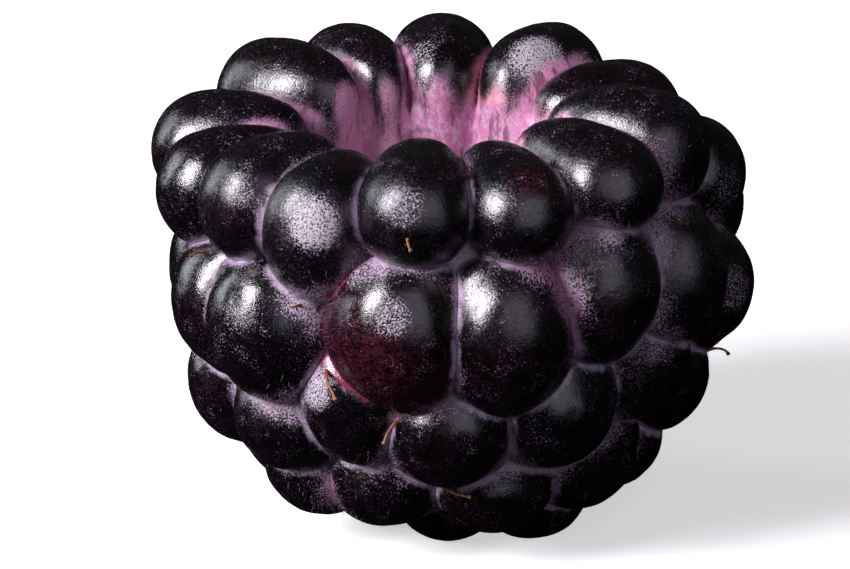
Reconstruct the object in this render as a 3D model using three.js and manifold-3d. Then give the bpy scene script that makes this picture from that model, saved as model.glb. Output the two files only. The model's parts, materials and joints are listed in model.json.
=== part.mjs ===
// A ripe bramble berry, picked off its core: plump drupelets grown together into a squat cup
// that stands on its lowest drupelets with its mouth up, and a few withered styles, the dry
// threads that each drupelet's flower left behind.
// Millimetres, +Z up. Azimuth 0 points along -Y and grows towards +X.
import * as THREE from "three";
import { mergeVertices } from "three/addons/utils/BufferGeometryUtils.js";
import Module from "manifold-3d";

const wasm = await Module();
wasm.setup();

// ---- Driving dimensions ----------------------------------------------------------------------

// The berry's axis leans a little: its X at the base and at the mouth.
const AXIS_X_AT_BASE = 0.25;
const AXIS_X_AT_MOUTH = -0.45;
const MOUTH_HEIGHT = 12;

// The drupelets, ring by ring from the mouth down. `radius` runs from the axis to a drupelet's
// middle, `tilt` is how far its outward side looks up, `out` and `inward` are its reach along
// that direction. Each drupelet is [azimuth, height of its middle, width, height, push outwards].
const RINGS = {
  rim: {
    radius: 6.45, tilt: -12, out: 1.5, inward: 2.9,
    drupelets: [
      [-5, 11.05, 3.0, 3.0, 0], [20, 10.95, 2.9, 2.8, 0], [45, 11.35, 3.0, 2.7, 0.15],
      [70, 11.5, 3.1, 3.3, 0], [93, 10.1, 3.0, 3.2, 0.72], [121, 11.0, 3.0, 3.0, 0],
      [148, 11.4, 3.0, 3.3, 0], [178, 11.4, 3.1, 3.3, 0], [203, 11.3, 2.9, 3.2, 0],
      [228, 11.25, 3.1, 3.3, -0.1], [256, 10.5, 3.1, 3.1, 0.3], [283, 10.2, 3.0, 3.2, 0],
      [310, 10.6, 3.1, 3.3, 0], [330, 10.2, 2.9, 3.8, 0],
    ],
  },
  upper: {
    radius: 6.85, tilt: 0, out: 1.5, inward: 2.9,
    drupelets: [
      [-45, 7.4, 3.4, 3.8, 0], [-10, 7.8, 3.3, 4.0, 0], [15, 7.7, 3.2, 4.0, 0],
      [40, 8.6, 3.1, 3.7, 0], [65, 8.2, 3.1, 3.8, 0.2], [90, 7.0, 3.1, 3.4, 0.4],
      [110, 8.6, 3.0, 3.4, 0.8], [134, 8.1, 3.3, 3.9, 0], [162, 8.1, 3.4, 4.0, 0.1],
      [190, 8.2, 3.4, 3.9, 0.1], [216, 8.1, 3.3, 3.9, 0.1], [242, 8.0, 3.4, 4.0, 0],
      [268, 7.5, 3.3, 3.8, -0.65], [291, 7.3, 3.2, 3.7, -0.4],
    ],
  },
  middle: {
    radius: 5.9, tilt: -22, out: 1.35, inward: 2.6,
    drupelets: [
      [-80, 4.35, 3.1, 3.3, 0.15], [-50, 4.35, 3.0, 3.0, 0], [-25, 5.35, 3.0, 3.9, 0],
      [0, 4.6, 3.1, 3.1, 0], [30, 4.95, 3.2, 3.2, 0], [60, 5.7, 3.1, 3.2, 0.25],
      [85, 4.4, 3.1, 3.1, 0.1], [113, 5.4, 3.3, 3.6, 0.15], [145, 5.0, 3.4, 3.6, 0.2],
      [176, 5.0, 3.4, 3.6, 0.2], [204, 5.0, 3.3, 3.5, 0.2], [231, 4.9, 3.3, 3.6, 0.1],
      [257, 4.6, 3.3, 3.5, 0.05],
    ],
  },
  lower: {
    radius: 4.5, tilt: -45, out: 1.25, inward: 2.1,
    drupelets: [
      [-55, 2.45, 3.1, 2.8, 0.2], [-25, 2.6, 3.1, 2.6, 0], [15, 2.45, 3.1, 2.6, 0],
      [50, 2.75, 3.2, 2.8, 0.25], [83, 2.5, 3.1, 2.8, 0.15], [121, 2.6, 3.3, 2.9, 0.2],
      [158, 2.5, 3.3, 2.9, 0.1], [194, 2.5, 3.3, 2.9, 0.1], [230, 2.5, 3.3, 2.9, 0.1],
      [267, 2.45, 3.2, 2.9, 0.1],
    ],
  },
  base: {
    radius: 2.4, tilt: -75, out: 1.25, inward: 1.6,
    drupelets: [
      [-5, 1.45, 2.8, 2.7, 0], [52, 1.3, 3.0, 2.9, 0.45], [112, 1.35, 2.8, 2.8, 0.1],
      [176, 1.35, 2.8, 2.8, 0], [238, 1.35, 2.8, 2.8, 0], [298, 1.44, 2.8, 2.8, 0],
    ],
  },
  tip: {
    radius: 0, tilt: -90, out: 1.05, inward: 1.4,
    drupelets: [[0, 1.5, 2.3, 2.3, 0]],
  },
};

// Neighbours press each other flat where they meet.
const PLUMP = 1.1; // a free side swells this much beyond its stated size
const FULLNESS = 0.2; // below the rim, sides and roots swell this much more, to fill corners
const FULLNESS_START = 0.45; // where the swelling starts and ends, from 1 at the outward side
const FULLNESS_END = -0.05; // to 0 halfway round to the root
const PRESS_OVERLAP = 1.16; // a pressed side runs this much past the shared plane, and so joins
const PRESS_POWER = 12; // higher turns a free side into a pressed one more sharply
const NEIGHBOUR_REACH = 7; // drupelets further apart than this never touch
const DRUPELET_DETAIL = 3; // subdivisions of the octahedron that a drupelet starts from

// The flesh behind the drupelets, as a turned profile of [radius, height]: from the hollow's
// floor up its wall, over the mouth and down inside the drupelets to the base.
const FLESH_PROFILE = [
  [0, 3.5], [1.6, 3.6], [2.6, 4.4], [3.2, 6.2], [3.5, 8.6], [3.7, 10.4], [4.3, 11.6],
  [5.6, 11.6], [6.6, 10.6], [7.0, 9.0], [7.0, 7.2], [6.4, 4.8], [5.0, 2.6], [3.0, 1.2], [0, 0.9],
];
const FLESH_SEGMENTS = 36;

// The lowest drupelets are flattened where they carry the berry.
const STANDING_HEIGHT = 0.14;
const CUT_SIZE = 40;

// A withered style is rooted on a drupelet of a ring. `clock` and `lean` place its root: how far
// round the drupelet from its top, and how far from its outward side. `heading` is the way it
// lies, on the same clock, `lift` how steeply it leaves the skin, `curl` its sideways bend.
const STYLE_ROOT_RADIUS = 0.085;
const STYLE_TIP_RADIUS = 0.04;
const STYLE_ROOT_DEPTH = 0.12;
const STYLE_BEND = 0.35; // how far along its run a style turns from rising to lying
const STYLE_SIDES = 6;
const STYLE_STEPS = 8;
const STYLES = [
  { ring: "upper", index: 13, clock: 20, lean: 65, heading: 200, length: 0.55, lift: 25, curl: 0.1 },
  { ring: "upper", index: 0, clock: 60, lean: 80, heading: 240, length: 0.5, lift: 25, curl: 0 },
  { ring: "middle", index: 2, clock: -10, lean: 65, heading: 155, length: 1.5, lift: 15, curl: 0.1 },
  { ring: "middle", index: 3, clock: -60, lean: 75, heading: 130, length: 0.8, lift: 20, curl: -0.1 },
  { ring: "rim", index: 0, clock: -30, lean: 5, heading: 165, length: 0.35, lift: 35, curl: 0.05 },
  { ring: "upper", index: 4, clock: -30, lean: 80, heading: 150, length: 0.6, lift: 20, curl: 0 },
  { ring: "middle", index: 6, clock: 10, lean: 50, heading: 150, length: 0.7, lift: 45, curl: -0.2 },
  { ring: "middle", index: 4, clock: 45, lean: 90, heading: 120, length: 0.6, lift: 30, curl: 0 },
  { ring: "middle", index: 3, clock: -170, lean: 65, heading: 90, length: 0.9, lift: 12, curl: -0.1 },
  { ring: "lower", index: 2, clock: 50, lean: 80, heading: 215, length: 0.45, lift: 30, curl: 0.05 },
  { ring: "rim", index: 8, clock: -35, lean: 50, heading: 245, length: 0.25, lift: 20, curl: 0 },
  { ring: "upper", index: 7, clock: 160, lean: 58, heading: 120, length: 1.2, lift: 25, curl: 0.3 },
  { ring: "middle", index: 8, clock: 20, lean: 60, heading: -70, length: 1.1, lift: 25, curl: 0.2 },
  { ring: "upper", index: 9, clock: -60, lean: 60, heading: 190, length: 1.4, lift: 30, curl: -0.3 },
  { ring: "rim", index: 9, clock: 190, lean: 46, heading: -80, length: 0.9, lift: 25, curl: 0.15 },
  { ring: "middle", index: 11, clock: 70, lean: 60, heading: 10, length: 1.2, lift: 35, curl: 0.25 },
];

const skin = new THREE.MeshStandardMaterial({ color: 0x221420, roughness: 0.25, metalness: 0 });
const dryStyle = new THREE.MeshStandardMaterial({ color: 0x9a6238, roughness: 0.8, metalness: 0 });

// ---- Drupelets -------------------------------------------------------------------------------

const UP = new THREE.Vector3(0, 0, 1);
const radians = THREE.MathUtils.degToRad;

function axisAt(height) {
  const share = THREE.MathUtils.clamp(height / MOUTH_HEIGHT, 0, 1);
  return THREE.MathUtils.lerp(AXIS_X_AT_BASE, AXIS_X_AT_MOUTH, share);
}

// A drupelet's middle, its own three directions and its half sizes.
function placeDrupelet(ring, [azimuth, height, width, tall, push]) {
  const away = new THREE.Vector3(Math.sin(radians(azimuth)), -Math.cos(radians(azimuth)), 0);
  const across = new THREE.Vector3(-away.y, away.x, 0);
  const tilt = radians(ring.tilt);
  const outward = away.clone().multiplyScalar(Math.cos(tilt)).addScaledVector(UP, Math.sin(tilt));
  const upward = new THREE.Vector3().crossVectors(outward, across);
  const middle = away.clone().multiplyScalar(ring.radius + push);
  middle.x += axisAt(height);
  middle.z = height;
  return {
    middle, outward, across, upward, out: ring.out, inward: ring.inward,
    halfWidth: width / 2, halfHeight: tall / 2, fullness: ring === RINGS.rim ? 0 : FULLNESS,
  };
}

// From a drupelet's middle to its skin if nothing pressed on it: an ovoid, longer inwards.
function freeReach(drupelet, direction) {
  const outward = direction.dot(drupelet.outward);
  return 1 / Math.hypot(
    outward / (outward > 0 ? drupelet.out : drupelet.inward),
    direction.dot(drupelet.across) / drupelet.halfWidth,
    direction.dot(drupelet.upward) / drupelet.halfHeight,
  );
}

// The flat side that each near neighbour presses: its direction and its distance.
function findPressedSides(drupelet, all) {
  const sides = [];
  for (const other of all) {
    const gap = drupelet.middle.distanceTo(other.middle);
    if (other === drupelet || gap > NEIGHBOUR_REACH) continue;
    const towards = new THREE.Vector3().subVectors(other.middle, drupelet.middle).normalize();
    const mine = freeReach(drupelet, towards);
    const theirs = freeReach(other, towards.clone().negate());
    sides.push({ towards, distance: (gap * mine / (mine + theirs)) * PRESS_OVERLAP });
  }
  return sides;
}

// How much a drupelet swells in a direction beyond its stated size.
function swelling(drupelet, direction) {
  const facingOut = direction.dot(drupelet.outward);
  const sideways = 1 - THREE.MathUtils.smoothstep(facingOut, FULLNESS_END, FULLNESS_START);
  return PLUMP * (1 + drupelet.fullness * sideways);
}

// From a drupelet's middle to its skin, free or pressed, with a soft turn between the two.
function pressedReach(drupelet, direction) {
  const free = swelling(drupelet, direction) * freeReach(drupelet, direction);
  let sum = free ** -PRESS_POWER;
  for (const { towards, distance } of drupelet.pressedSides) {
    const facing = direction.dot(towards);
    if (facing > 0) sum += (facing / distance) ** PRESS_POWER;
  }
  return sum ** (-1 / PRESS_POWER);
}

function skinPoint(drupelet, direction) {
  return drupelet.middle.clone().addScaledVector(direction, pressedReach(drupelet, direction));
}

function drupeletGeometry(drupelet) {
  const geometry = new THREE.OctahedronGeometry(1, DRUPELET_DETAIL);
  const turn = new THREE.Matrix4().makeBasis(drupelet.across, drupelet.upward, drupelet.outward);
  const position = geometry.applyMatrix4(turn).getAttribute("position");
  const direction = new THREE.Vector3();
  for (let i = 0; i < position.count; i++) {
    direction.fromBufferAttribute(position, i).normalize();
    position.setXYZ(i, ...skinPoint(drupelet, direction));
  }
  return geometry;
}

// ---- Joining and cutting ---------------------------------------------------------------------

function toSolid(geometry) {
  geometry.deleteAttribute("normal");
  geometry.deleteAttribute("uv");
  const merged = mergeVertices(geometry);
  const corners = merged.index.array;
  const faces = [];
  for (let i = 0; i < corners.length; i += 3) {
    const [a, b, c] = corners.slice(i, i + 3);
    if (a !== b && b !== c && c !== a) faces.push(a, b, c);
  }
  return new wasm.Manifold(new wasm.Mesh({
    numProp: 3,
    vertProperties: new Float32Array(merged.attributes.position.array),
    triVerts: new Uint32Array(faces),
  }));
}

function toGeometry(solid) {
  const mesh = solid.getMesh();
  const geometry = new THREE.BufferGeometry();
  geometry.setAttribute("position", new THREE.BufferAttribute(mesh.vertProperties, 3));
  geometry.setIndex(new THREE.BufferAttribute(mesh.triVerts, 1));
  return geometry;
}

// ---- The berry -------------------------------------------------------------------------------

function fleshGeometry() {
  const profile = FLESH_PROFILE.map(([radius, height]) => new THREE.Vector2(radius, height));
  const geometry = new THREE.LatheGeometry(profile.reverse(), FLESH_SEGMENTS);
  geometry.rotateX(Math.PI / 2);
  const position = geometry.getAttribute("position");
  for (let i = 0; i < position.count; i++) {
    position.setX(i, position.getX(i) + axisAt(position.getZ(i)));
  }
  return geometry;
}

function berryGeometry(drupelets) {
  const whole = drupelets
    .map((drupelet) => toSolid(drupeletGeometry(drupelet)))
    .reduce((joined, solid) => joined.add(solid), toSolid(fleshGeometry()));
  const ground = new THREE.BoxGeometry(CUT_SIZE, CUT_SIZE, CUT_SIZE);
  ground.translate(0, 0, STANDING_HEIGHT - CUT_SIZE / 2);
  return toGeometry(whole.subtract(toSolid(ground)));
}

// ---- The withered styles ---------------------------------------------------------------------

// A direction on a drupelet: `clock` degrees round its outward side from its top.
function clockDirection(drupelet, clock) {
  return drupelet.upward.clone().multiplyScalar(Math.cos(radians(clock)))
    .addScaledVector(drupelet.across, Math.sin(radians(clock)));
}

function styleCurve(drupelet, { clock, lean, heading, length, lift, curl }) {
  const rootWay = drupelet.outward.clone().multiplyScalar(Math.cos(radians(lean)))
    .addScaledVector(clockDirection(drupelet, clock), Math.sin(radians(lean)));
  const root = skinPoint(drupelet, rootWay);
  const along = clockDirection(drupelet, heading);
  along.addScaledVector(rootWay, -along.dot(rootWay)).normalize();
  const aside = new THREE.Vector3().crossVectors(rootWay, along);
  const rise = Math.sin(radians(lift)) * length;
  const run = Math.cos(radians(lift)) * length;
  return new THREE.QuadraticBezierCurve3(
    root.clone().addScaledVector(rootWay, -STYLE_ROOT_DEPTH),
    root.clone().addScaledVector(rootWay, rise).addScaledVector(along, run * STYLE_BEND),
    root.clone().addScaledVector(rootWay, rise).addScaledVector(along, run)
      .addScaledVector(aside, curl),
  );
}

// A thin rod, thicker at its root, laid along a curve.
function styleGeometry(curve) {
  const rod = new THREE.CylinderGeometry(
    STYLE_TIP_RADIUS, STYLE_ROOT_RADIUS, 1, STYLE_SIDES, STYLE_STEPS,
  );
  const frames = curve.computeFrenetFrames(STYLE_STEPS);
  const position = rod.getAttribute("position");
  for (let i = 0; i < position.count; i++) {
    const share = position.getY(i) + 0.5;
    const step = Math.round(share * STYLE_STEPS);
    const point = curve.getPointAt(share)
      .addScaledVector(frames.binormals[step], position.getX(i))
      .addScaledVector(frames.normals[step], position.getZ(i));
    position.setXYZ(i, ...point);
  }
  return rod;
}

// ---- Assembly --------------------------------------------------------------------------------

const rings = {};
for (const [name, ring] of Object.entries(RINGS)) {
  rings[name] = ring.drupelets.map((entry) => placeDrupelet(ring, entry));
}
const drupelets = Object.values(rings).flat();
for (const drupelet of drupelets) {
  drupelet.pressedSides = findPressedSides(drupelet, drupelets);
}

const bramble = new THREE.Group();

const berry = new THREE.Mesh(berryGeometry(drupelets), skin);
berry.name = "berry";
bramble.add(berry);

STYLES.forEach((style, i) => {
  const curve = styleCurve(rings[style.ring][style.index], style);
  const mesh = new THREE.Mesh(styleGeometry(curve), dryStyle);
  mesh.name = "withered_style_" + String(i + 1).padStart(2, "0");
  bramble.add(mesh);
});

// The origin is under the middle of the berry, on the surface that it stands on.
const box = new THREE.Box3().setFromObject(bramble);
const middle = box.getCenter(new THREE.Vector3());
for (const piece of bramble.children) {
  piece.geometry.translate(-middle.x, -middle.y, -box.min.z);
}

export default bramble;
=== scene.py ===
"""A ripe bramble berry, picked off its core and standing mouth up on its lowest drupelets.

Plump drupelets are placed ring by ring, pressed flat against their neighbours by rule and
joined into one closed skin. Masks found on that skin (how near a crease is, what faces the
hollow, where bloom lies) drive its colour, gloss and relief, and the places where fine down
grows. Withered styles, the dry threads left by the flower, lie on it here and there.
"""

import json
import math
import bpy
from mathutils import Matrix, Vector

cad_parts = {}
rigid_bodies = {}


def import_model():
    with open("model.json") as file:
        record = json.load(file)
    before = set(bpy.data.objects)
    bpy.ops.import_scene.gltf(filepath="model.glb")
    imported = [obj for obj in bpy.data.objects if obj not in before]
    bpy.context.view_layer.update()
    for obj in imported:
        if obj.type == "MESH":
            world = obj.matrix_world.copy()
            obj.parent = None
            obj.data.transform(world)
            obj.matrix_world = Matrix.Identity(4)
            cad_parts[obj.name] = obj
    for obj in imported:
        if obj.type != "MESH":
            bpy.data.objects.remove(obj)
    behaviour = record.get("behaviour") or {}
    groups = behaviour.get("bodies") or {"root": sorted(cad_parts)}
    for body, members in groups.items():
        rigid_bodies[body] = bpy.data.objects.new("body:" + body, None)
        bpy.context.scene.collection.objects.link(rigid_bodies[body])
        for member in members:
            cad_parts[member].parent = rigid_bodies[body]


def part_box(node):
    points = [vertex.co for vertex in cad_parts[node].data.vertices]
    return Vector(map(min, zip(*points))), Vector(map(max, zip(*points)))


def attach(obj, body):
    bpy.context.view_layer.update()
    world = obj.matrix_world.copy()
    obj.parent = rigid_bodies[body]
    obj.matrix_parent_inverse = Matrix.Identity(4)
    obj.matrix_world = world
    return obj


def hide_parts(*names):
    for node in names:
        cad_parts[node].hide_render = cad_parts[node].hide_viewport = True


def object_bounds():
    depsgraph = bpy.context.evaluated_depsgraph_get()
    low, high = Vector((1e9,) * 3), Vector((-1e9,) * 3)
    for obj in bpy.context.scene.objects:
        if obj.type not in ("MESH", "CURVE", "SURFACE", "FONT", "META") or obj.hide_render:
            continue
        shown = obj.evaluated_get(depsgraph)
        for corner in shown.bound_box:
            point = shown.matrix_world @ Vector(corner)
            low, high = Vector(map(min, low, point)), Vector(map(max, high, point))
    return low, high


bl_info = {
    "name": "Bramble Berry",
    "version": (1, 0, 0),
    "blender": (4, 5, 0),
    "location": "3D View > Sidebar > Bramble Berry",
    "description": "Grows a ripe bramble berry with its bloom, down and withered styles",
    "category": "Add Mesh",
}

import bmesh
import bpy
import numpy as np
from bpy.props import FloatProperty, FloatVectorProperty, IntProperty, PointerProperty
from mathutils import Matrix, Vector, kdtree, noise

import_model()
CAD_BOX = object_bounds()

BODY = "root"
BERRY_NODE = "berry"
MM = 0.001

# ---- The berry's plan, in millimetres and degrees ---------------------------------------------

# The berry's axis leans a little: its X at the base and at the mouth.
AXIS_X_AT_BASE = 0.25
AXIS_X_AT_MOUTH = -0.45
MOUTH_HEIGHT = 12.0
STANDING_HEIGHT = 0.14  # the lowest drupelets are cut flat here
GROUND_SIZE = 20.0  # half the side of the block that cuts them

# Ring by ring from the mouth down. Each drupelet is
# (azimuth, height of its middle, width, height, push outwards).
RINGS = {
    "rim": {
        "radius": 6.45, "tilt": -12, "out": 1.5, "inward": 2.9,
        "drupelets": (
            (-5, 11.05, 3.0, 3.0, 0), (20, 10.95, 2.9, 2.8, 0), (45, 11.35, 3.0, 2.7, 0.15),
            (70, 11.5, 3.1, 3.3, 0), (93, 10.1, 3.0, 3.2, 0.72), (121, 11.0, 3.0, 3.0, 0),
            (148, 11.4, 3.0, 3.3, 0), (178, 11.4, 3.1, 3.3, 0), (203, 11.3, 2.9, 3.2, 0),
            (228, 11.25, 3.1, 3.3, -0.1), (256, 10.5, 3.1, 3.1, 0.3), (283, 10.2, 3.0, 3.2, 0),
            (310, 10.6, 3.1, 3.3, 0), (330, 10.2, 2.9, 3.8, 0),
        ),
    },
    "upper": {
        "radius": 6.85, "tilt": 0, "out": 1.5, "inward": 2.9,
        "drupelets": (
            (-45, 7.4, 3.4, 3.8, 0), (-10, 7.8, 3.3, 4.0, 0), (15, 7.7, 3.2, 4.0, 0),
            (40, 8.6, 3.1, 3.7, 0), (65, 8.2, 3.1, 3.8, 0.2), (90, 7.0, 3.1, 3.4, 0.4),
            (110, 8.6, 3.0, 3.4, 0.8), (134, 8.1, 3.3, 3.9, 0), (162, 8.1, 3.4, 4.0, 0.1),
            (190, 8.2, 3.4, 3.9, 0.1), (216, 8.1, 3.3, 3.9, 0.1), (242, 8.0, 3.4, 4.0, 0),
            (268, 7.5, 3.3, 3.8, -0.65), (291, 7.3, 3.2, 3.7, -0.4),
        ),
    },
    "middle": {
        "radius": 5.9, "tilt": -22, "out": 1.35, "inward": 2.6,
        "drupelets": (
            (-80, 4.35, 3.1, 3.3, 0.15), (-50, 4.35, 3.0, 3.0, 0), (-25, 5.35, 3.0, 3.9, 0),
            (0, 4.6, 3.1, 3.1, 0), (30, 4.95, 3.2, 3.2, 0), (60, 5.7, 3.1, 3.2, 0.25),
            (85, 4.4, 3.1, 3.1, 0.1), (113, 5.4, 3.3, 3.6, 0.15), (145, 5.0, 3.4, 3.6, 0.2),
            (176, 5.0, 3.4, 3.6, 0.2), (204, 5.0, 3.3, 3.5, 0.2), (231, 4.9, 3.3, 3.6, 0.1),
            (257, 4.6, 3.3, 3.5, 0.05),
        ),
    },
    "lower": {
        "radius": 4.5, "tilt": -45, "out": 1.25, "inward": 2.1,
        "drupelets": (
            (-55, 2.45, 3.1, 2.8, 0.2), (-25, 2.6, 3.1, 2.6, 0), (15, 2.45, 3.1, 2.6, 0),
            (50, 2.75, 3.2, 2.8, 0.25), (83, 2.5, 3.1, 2.8, 0.15), (121, 2.6, 3.3, 2.9, 0.2),
            (158, 2.5, 3.3, 2.9, 0.1), (194, 2.5, 3.3, 2.9, 0.1), (230, 2.5, 3.3, 2.9, 0.1),
            (267, 2.45, 3.2, 2.9, 0.1),
        ),
    },
    "base": {
        "radius": 2.4, "tilt": -75, "out": 1.25, "inward": 1.6,
        "drupelets": (
            (-5, 1.45, 2.8, 2.7, 0), (52, 1.3, 3.0, 2.9, 0.45), (112, 1.35, 2.8, 2.8, 0.1),
            (176, 1.35, 2.8, 2.8, 0), (238, 1.35, 2.8, 2.8, 0), (298, 1.44, 2.8, 2.8, 0),
        ),
    },
    "tip": {
        "radius": 0, "tilt": -90, "out": 1.05, "inward": 1.4,
        "drupelets": ((0, 1.5, 2.3, 2.3, 0),),
    },
}
NEIGHBOUR_REACH = 7.0  # drupelets further apart than this never touch

# Below the rim a drupelet swells in full behind FULLNESS_END, and not at all before
# FULLNESS_START, both from 1 at its outward side to -1 at its root.
FULLNESS_START = 0.45
FULLNESS_END = -0.05
DROOP_START = 0.1  # from a drupelet's middle inwards, where a rim drupelet starts to droop
DROOP_END = 0.5

# A drupelet's uneven skin has broad and fine waves, each across about 1 / scale of its radius.
WOBBLE_SCALE = 2.1
FINE_WOBBLE_SCALE = 6.0
FINE_WOBBLE_SHARE = 0.4
SCAR_SPREAD = 0.006  # how wide a scar's dimple is: 1 minus the cosine of its half angle

# The flesh behind the drupelets, turned round the axis: (radius, height) from the hollow's floor
# up its wall, over the mouth and down inside the drupelets to the base.
FLESH_PROFILE = (
    (0, 3.5), (1.6, 3.6), (2.6, 4.4), (3.2, 6.2), (3.45, 8.6), (3.5, 10.2), (3.75, 11.0),
    (4.4, 11.35), (5.6, 11.3), (6.3, 10.4), (6.6, 9.0), (6.6, 7.2), (6.0, 4.8), (4.7, 2.7),
    (2.8, 1.4), (0, 1.1),
)
FLESH_PROFILE_STEPS = 90
FLESH_TURN_STEPS = 168
# The flesh that is nearer the axis than this radius and above this floor is in the hollow.
HOLLOW_RADIUS = 4.4
HOLLOW_FLOOR = 3.4
# A ridge stands behind each rim drupelet, full at the middle heights and fading at both ends.
RIDGE_HALF_ANGLE = 13.0  # degrees
RIDGE_HEIGHTS = (4.0, 6.5, 10.6, 11.4)
RIDGE_SHARES = (0, 1, 1, 0.2)
WRINKLE_DEPTHS = (0.05, 0.03)
WRINKLE_RATIO = 3.1  # how much finer the second wrinkles are

# Where the rim drupelets' inner ends are blended into the hollow's wall: from none at the first
# value of a pair to full at the second. The last pair is how much a vertex faces the axis.
BLEND_RADII = (5.4, 4.5)
BLEND_TOP = (11.7, 10.9)
BLEND_BOTTOM = (2.5, 3.2)
BLEND_FACING = (-0.4, 0.0)
BLEND_STRENGTH = 0.5

# Where the hollow's pink wall shows, in pairs of the same kind. Its ragged top edge is higher to
# the right, and the grooves between rim drupelets carry it further up and out. A name ending in
# X or Y holds the places across the berry where the values below it apply.
WALL_FACING = (0.05, 0.45)
WALL_RADII = (5.6, 5.0)
WALL_FADE = 1.2
WALL_TOP_X = (-4, 1, 3)
WALL_TOP = (10.9, 11.8, 12.2)
GROOVE_RADIUS_Y = (-4, 3)
GROOVE_RADIUS = (5.0, 7.2)
GROOVE_WIDTH_X = (0, 3)
GROOVE_WIDTH = (0.6, 1.2)
GROOVE_TOP = (12.9, 12.3)
GROOVE_BOTTOM = (9.0, 9.8)
FLOOR_RADII = (3.6, 3.2)
FLOOR_BOTTOM = (2.6, 3.2)
TONE_SEED = 11

CREASE_ANGLE = 28.0  # a concave edge sharper than this, in degrees, is a crease
SHARP_ANGLE = 48.0  # an edge sharper than this isn't shaded smooth
SKIN_TOLERANCE = 0.06  # a vertex further than this from a drupelet's skin isn't on it
SKIN_REACH = 4.5  # no drupelet's skin is further from its middle than this

# Where bloom gathers: (the drupelets that meet there, reach in mm, amount, pinkness).
BLOOM_SPOTS = (
    ((("rim", 13), ("upper", 0), ("upper", 1)), 1.25, 1.0, 0.15),
    ((("rim", 13), ("rim", 0), ("upper", 1)), 0.9, 0.9, 0.3),
    ((("rim", 1), ("upper", 2), ("upper", 3)), 1.6, 1.0, 1.0),
    ((("rim", 0), ("rim", 1), ("upper", 2)), 0.7, 0.5, 0.2),
    ((("rim", 1), ("rim", 2), ("upper", 3)), 1.0, 1.0, 0.1),
    ((("rim", 2), ("rim", 3), ("upper", 3), ("upper", 4)), 1.6, 1.0, 0.05),
    ((("upper", 4), ("middle", 4), ("middle", 5)), 1.0, 0.8, 0.15),
    ((("rim", 2), ("rim", 3)), 1.5, 0.9, 1.0),
    ((("upper", 3), ("upper", 4), ("middle", 5)), 1.3, 0.8, 0.1),
    ((("rim", 3), ("rim", 4), ("upper", 4), ("upper", 5)), 1.2, 0.9, 0.8),
    ((("rim", 12), ("upper", 13), ("upper", 0)), 1.0, 0.8, 0.35),
    ((("upper", 0), ("middle", 1), ("middle", 2)), 1.2, 1.0, 0.1),
    ((("middle", 3), ("middle", 4), ("lower", 2)), 1.0, 0.8, 0.1),
    ((("middle", 2), ("middle", 3), ("lower", 1)), 0.9, 0.7, 0.2),
    ((("upper", 2), ("upper", 3), ("middle", 4)), 0.8, 0.7, 0.6),
    ((("middle", 4), ("middle", 5), ("lower", 3)), 1.0, 0.7, 0.2),
    ((("lower", 0), ("lower", 1)), 1.4, 0.7, 1.0),
    ((("upper", 12), ("upper", 13), ("middle", 0)), 1.4, 0.9, 0.8),
    ((("rim", 8), ("rim", 9), ("upper", 10)), 1.1, 0.9, 0.4),
    ((("upper", 8), ("upper", 9), ("middle", 9)), 1.2, 0.9, 0.2),
    ((("rim", 6), ("upper", 7), ("upper", 8)), 1.0, 0.8, 0.6),
    ((("middle", 10), ("middle", 11), ("lower", 8)), 1.2, 0.8, 0.3),
    ((("upper", 5), ("upper", 6), ("middle", 7)), 1.1, 0.8, 0.2),
)

# Redder patches on single drupelets: (ring, index, clock, lean, size, amount). `clock` goes round
# the drupelet's outward side from its top, `lean` away from that side, and `size` is in degrees.
RED_PATCHES = (
    ("upper", 1, 230, 45, 95, 1.0), ("rim", 1, 0, 60, 34, 0.6), ("rim", 7, 90, 70, 40, 0.5),
    ("upper", 9, 150, 50, 60, 0.8), ("middle", 10, -60, 60, 50, 0.6),
    ("rim", 10, 180, 60, 40, 0.4), ("upper", 13, 240, 60, 40, 0.5),
)

# Pale wax patches on single drupelets' faces, with painted highlights and painted light, written as
# the red ones are.
WAX_AND_HIGHLIGHT_PATCHES = (
    ("rim", 13, 35, 45, 40, 1.0), ("rim", 0, -10, 35, 35, 0.6), ("middle", 2, -30, 50, 35, 0.9),
    ("rim", 12, 40, 50, 25, 0.6), ("upper", 0, 30, 25, 30, 0.5), ("upper", 1, 5, 30, 30, 0.7),
    ("upper", 8, 20, 25, 35, 0.6), ("middle", 9, -30, 40, 30, 0.7), ("rim", 6, -40, 150, 30, 1.0),
    ("rim", 7, 30, 160, 15, 0.6), ("upper", 3, -70, 80, 15, 0.7), ("upper", 5, 10, 40, 30, 0.5),
    ("upper", 5, -80, 50, 40, 0.6), ("rim", 4, -80, 50, 40, 0.5), ("upper", 4, 20, 30, 40, 0.4),
)

# Drupelets whose thin wax dulls their shine, and how much.
MATT_DRUPELETS = {
    ("rim", 13): 1.0, ("rim", 0): 0.7, ("rim", 12): 0.5, ("rim", 3): 0.5, ("middle", 1): 0.5,
    ("rim", 1): 0.5, ("rim", 2): 0.4, ("upper", 3): 0.6, ("upper", 2): 0.3, ("upper", 4): 0.5,
    ("middle", 2): 0.4, ("rim", 6): 0.5, ("rim", 9): 0.4, ("upper", 8): 0.7, ("middle", 9): 0.6,
    ("rim", 10): 0.3, ("upper", 10): 0.4, ("middle", 7): 0.5,
}

STYLE_ROOT_DEPTH = 0.12
STYLE_BEND = 0.35  # how far along its run a style turns from rising to lying
STYLE_STEPS = 24

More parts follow.
